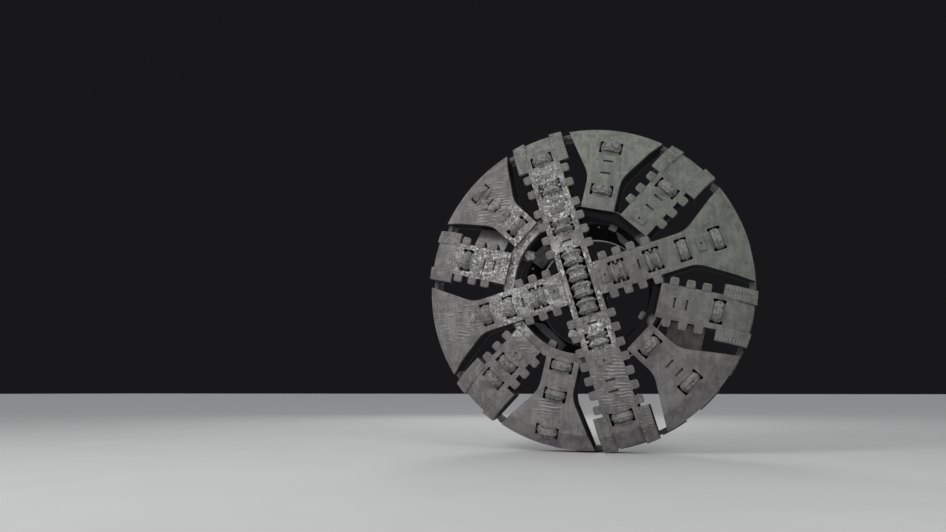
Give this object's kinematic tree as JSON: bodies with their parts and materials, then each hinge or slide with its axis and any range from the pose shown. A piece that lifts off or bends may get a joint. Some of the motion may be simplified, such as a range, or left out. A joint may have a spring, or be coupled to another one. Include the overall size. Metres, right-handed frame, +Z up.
{
  "type": "tunnel boring machine cutterhead",
  "caption": "Round cutterhead of an earth pressure tunnel boring machine, with radial arms, slots for spoil, edge scrapers and disc cutters that each turn on a radial shaft.",
  "frame": {"origin": "centre of the rear flange's bolted face, on the head's axis", "axes": "+Y along the head's axis, out of the rear flange towards the machine, so the cutting face looks to -Y; +Z up; +X to the right for someone who looks at the cutting face from in front"},
  "size_m": [6.5742, 1.85, 6.5628],
  "materials": {
    "structure_steel": "matt, under a dried coat of grey slurry",
    "wear_steel": "matt, worn bright along the cutting edges",
    "machined_steel": "machined, lightly soiled",
    "pipe_steel": "matt",
    "cutter_steel": "worn bright at the tip, soiled elsewhere"
  },
  "bodies": {
    "head": {"main_beam": "structure_steel", "side_arm_1": "structure_steel", "side_arm_2": "structure_steel", "mid_ring": "structure_steel", "rim_ring": "structure_steel", "rim_wear_bars": "wear_steel", "support_legs": "structure_steel", "rear_flange": "machined_steel", "centre_tube": "machined_steel", "foam_lines": "pipe_steel", "foam_nozzles": "wear_steel", "edge_scrapers": "wear_steel", "gauge_buckets": "wear_steel", "muck_chutes": "structure_steel", "mixing_bars": "structure_steel", "cutter_shafts": "cutter_steel", "spoke_1": "structure_steel", "spoke_2": "structure_steel", "spoke_3": "structure_steel", "spoke_4": "structure_steel", "panel_1": "structure_steel", "panel_2": "structure_steel", "panel_3": "structure_steel", "panel_4": "structure_steel"},
    "centre_cutter_1": {"centre_cutter_1": "cutter_steel"},
    "centre_cutter_2": {"centre_cutter_2": "cutter_steel"},
    "centre_cutter_3": {"centre_cutter_3": "cutter_steel"},
    "centre_cutter_4": {"centre_cutter_4": "cutter_steel"},
    "cutter_01": {"cutter_01": "cutter_steel"},
    "cutter_02": {"cutter_02": "cutter_steel"},
    "cutter_03": {"cutter_03": "cutter_steel"},
    "cutter_04": {"cutter_04": "cutter_steel"},
    "cutter_05": {"cutter_05": "cutter_steel"},
    "cutter_06": {"cutter_06": "cutter_steel"},
    "cutter_07": {"cutter_07": "cutter_steel"},
    "cutter_08": {"cutter_08": "cutter_steel"},
    "cutter_09": {"cutter_09": "cutter_steel"},
    "cutter_10": {"cutter_10": "cutter_steel"},
    "cutter_11": {"cutter_11": "cutter_steel"},
    "cutter_12": {"cutter_12": "cutter_steel"},
    "cutter_13": {"cutter_13": "cutter_steel"},
    "cutter_14": {"cutter_14": "cutter_steel"},
    "cutter_15": {"cutter_15": "cutter_steel"},
    "cutter_16": {"cutter_16": "cutter_steel"},
    "cutter_17": {"cutter_17": "cutter_steel"},
    "cutter_18": {"cutter_18": "cutter_steel"},
    "cutter_19": {"cutter_19": "cutter_steel"},
    "cutter_20": {"cutter_20": "cutter_steel"},
    "cutter_21": {"cutter_21": "cutter_steel"},
    "cutter_22": {"cutter_22": "cutter_steel"},
    "cutter_23": {"cutter_23": "cutter_steel"},
    "cutter_24": {"cutter_24": "cutter_steel"},
    "cutter_25": {"cutter_25": "cutter_steel"},
    "cutter_26": {"cutter_26": "cutter_steel"}
  },
  "joints": [
    {"name": "centre_cutter_1_spin", "type": "hinge", "parent": "head", "child": "centre_cutter_1", "pos_m": [0.12747, -1.634, -0.45654], "axis": [-0.2689, 0, 0.9632], "continuous": true},
    {"name": "centre_cutter_2_spin", "type": "hinge", "parent": "head", "child": "centre_cutter_2", "pos_m": [0.03496, -1.634, -0.12521], "axis": [-0.2689, 0, 0.9632], "continuous": true},
    {"name": "centre_cutter_3_spin", "type": "hinge", "parent": "head", "child": "centre_cutter_3", "pos_m": [-0.05755, -1.634, 0.20612], "axis": [-0.2689, 0, 0.9632], "continuous": true},
    {"name": "centre_cutter_4_spin", "type": "hinge", "parent": "head", "child": "centre_cutter_4", "pos_m": [-0.15006, -1.634, 0.53744], "axis": [-0.2689, 0, 0.9632], "continuous": true},
    {"name": "cutter_01_spin", "type": "hinge", "parent": "head", "child": "cutter_01", "pos_m": [0.75801, -1.634, 0.21164], "axis": [0.9632, 0, 0.2689], "continuous": true},
    {"name": "cutter_02_spin", "type": "hinge", "parent": "head", "child": "cutter_02", "pos_m": [1.43222, -1.634, 0.39988], "axis": [0.9632, 0, 0.2689], "continuous": true},
    {"name": "cutter_03_spin", "type": "hinge", "parent": "head", "child": "cutter_03", "pos_m": [1.99856, -1.634, 0.55801], "axis": [0.9632, 0, 0.2689], "continuous": true},
    {"name": "cutter_04_spin", "type": "hinge", "parent": "head", "child": "cutter_04", "pos_m": [2.6198, -1.634, 0.73146], "axis": [0.9632, 0, 0.2689], "continuous": true},
    {"name": "cutter_05_spin", "type": "hinge", "parent": "head", "child": "cutter_05", "pos_m": [-0.85914, -1.634, -0.23988], "axis": [-0.9632, 0, -0.2689], "continuous": true},
    {"name": "cutter_06_spin", "type": "hinge", "parent": "head", "child": "cutter_06", "pos_m": [-1.47364, -1.634, -0.41145], "axis": [-0.9632, 0, -0.2689], "continuous": true},
    {"name": "cutter_07_spin", "type": "hinge", "parent": "head", "child": "cutter_07", "pos_m": [-1.96196, -1.634, -0.54779], "axis": [-0.9632, 0, -0.2689], "continuous": true},
    {"name": "cutter_08_spin", "type": "hinge", "parent": "head", "child": "cutter_08", "pos_m": [-0.33803, -1.634, 1.2107], "axis": [-0.2689, 0, 0.9632], "continuous": true},
    {"name": "cutter_09_spin", "type": "hinge", "parent": "head", "child": "cutter_09", "pos_m": [-0.56742, -1.634, 2.03227], "axis": [-0.2689, 0, 0.9632], "continuous": true},
    {"name": "cutter_10_spin", "type": "hinge", "parent": "head", "child": "cutter_10", "pos_m": [-0.73899, -1.634, 2.64677], "axis": [-0.2689, 0, 0.9632], "continuous": true},
    {"name": "cutter_11_spin", "type": "hinge", "parent": "head", "child": "cutter_11", "pos_m": [0.31114, -1.634, -1.11438], "axis": [0.2689, 0, -0.9632], "continuous": true},
    {"name": "cutter_12_spin", "type": "hinge", "parent": "head", "child": "cutter_12", "pos_m": [0.72608, -1.634, -2.60054], "axis": [0.2689, 0, -0.9632], "continuous": true},
    {"name": "cutter_13_spin", "type": "hinge", "parent": "head", "child": "cutter_13", "pos_m": [0.4837, -1.634, 1.88389], "axis": [0.2487, 0, 0.9686], "continuous": true},
    {"name": "cutter_14_spin", "type": "hinge", "parent": "head", "child": "cutter_14", "pos_m": [0.70553, -1.634, 2.74787], "axis": [0.2487, 0, 0.9686], "continuous": true},
    {"name": "cutter_15_spin", "type": "hinge", "parent": "head", "child": "cutter_15", "pos_m": [-0.4183, -1.634, -1.62916], "axis": [-0.2487, 0, -0.9686], "continuous": true},
    {"name": "cutter_16_spin", "type": "hinge", "parent": "head", "child": "cutter_16", "pos_m": [-0.56129, -1.634, -2.18609], "axis": [-0.2487, 0, -0.9686], "continuous": true},
    {"name": "cutter_17_spin", "type": "hinge", "parent": "head", "child": "cutter_17", "pos_m": [-0.73541, -1.60517, -2.86424], "axis": [-0.2272, 0.4067, -0.8848], "continuous": true},
    {"name": "cutter_18_spin", "type": "hinge", "parent": "head", "child": "cutter_18", "pos_m": [-1.28391, -1.634, 1.2573], "axis": [-0.7145, 0, 0.6997], "continuous": true},
    {"name": "cutter_19_spin", "type": "hinge", "parent": "head", "child": "cutter_19", "pos_m": [-2.0775, -1.63542, 2.03444], "axis": [-0.6932, 0.2419, 0.6789], "continuous": true},
    {"name": "cutter_20_spin", "type": "hinge", "parent": "head", "child": "cutter_20", "pos_m": [1.2982, -1.634, -1.27129], "axis": [0.7145, 0, -0.6997], "continuous": true},
    {"name": "cutter_21_spin", "type": "hinge", "parent": "head", "child": "cutter_21", "pos_m": [1.99338, -1.634, -1.95206], "axis": [0.7145, 0, -0.6997], "continuous": true},
    {"name": "cutter_22_spin", "type": "hinge", "parent": "head", "child": "cutter_22", "pos_m": [1.75965, -1.634, 1.7969], "axis": [0.6997, 0, 0.7145], "continuous": true},
    {"name": "cutter_23_spin", "type": "hinge", "parent": "head", "child": "cutter_23", "pos_m": [-1.53016, -1.634, -1.56255], "axis": [-0.6997, 0, -0.7145], "continuous": true},
    {"name": "cutter_24_spin", "type": "hinge", "parent": "head", "child": "cutter_24", "pos_m": [-1.82402, -1.634, -1.86263], "axis": [-0.6997, 0, -0.7145], "continuous": true},
    {"name": "cutter_25_spin", "type": "hinge", "parent": "head", "child": "cutter_25", "pos_m": [-2.40209, -1.634, 0.61675], "axis": [-0.9686, 0, 0.2487], "continuous": true},
    {"name": "cutter_26_spin", "type": "hinge", "parent": "head", "child": "cutter_26", "pos_m": [2.55706, -1.634, -0.65654], "axis": [0.9686, 0, -0.2487], "continuous": true}
  ]
}
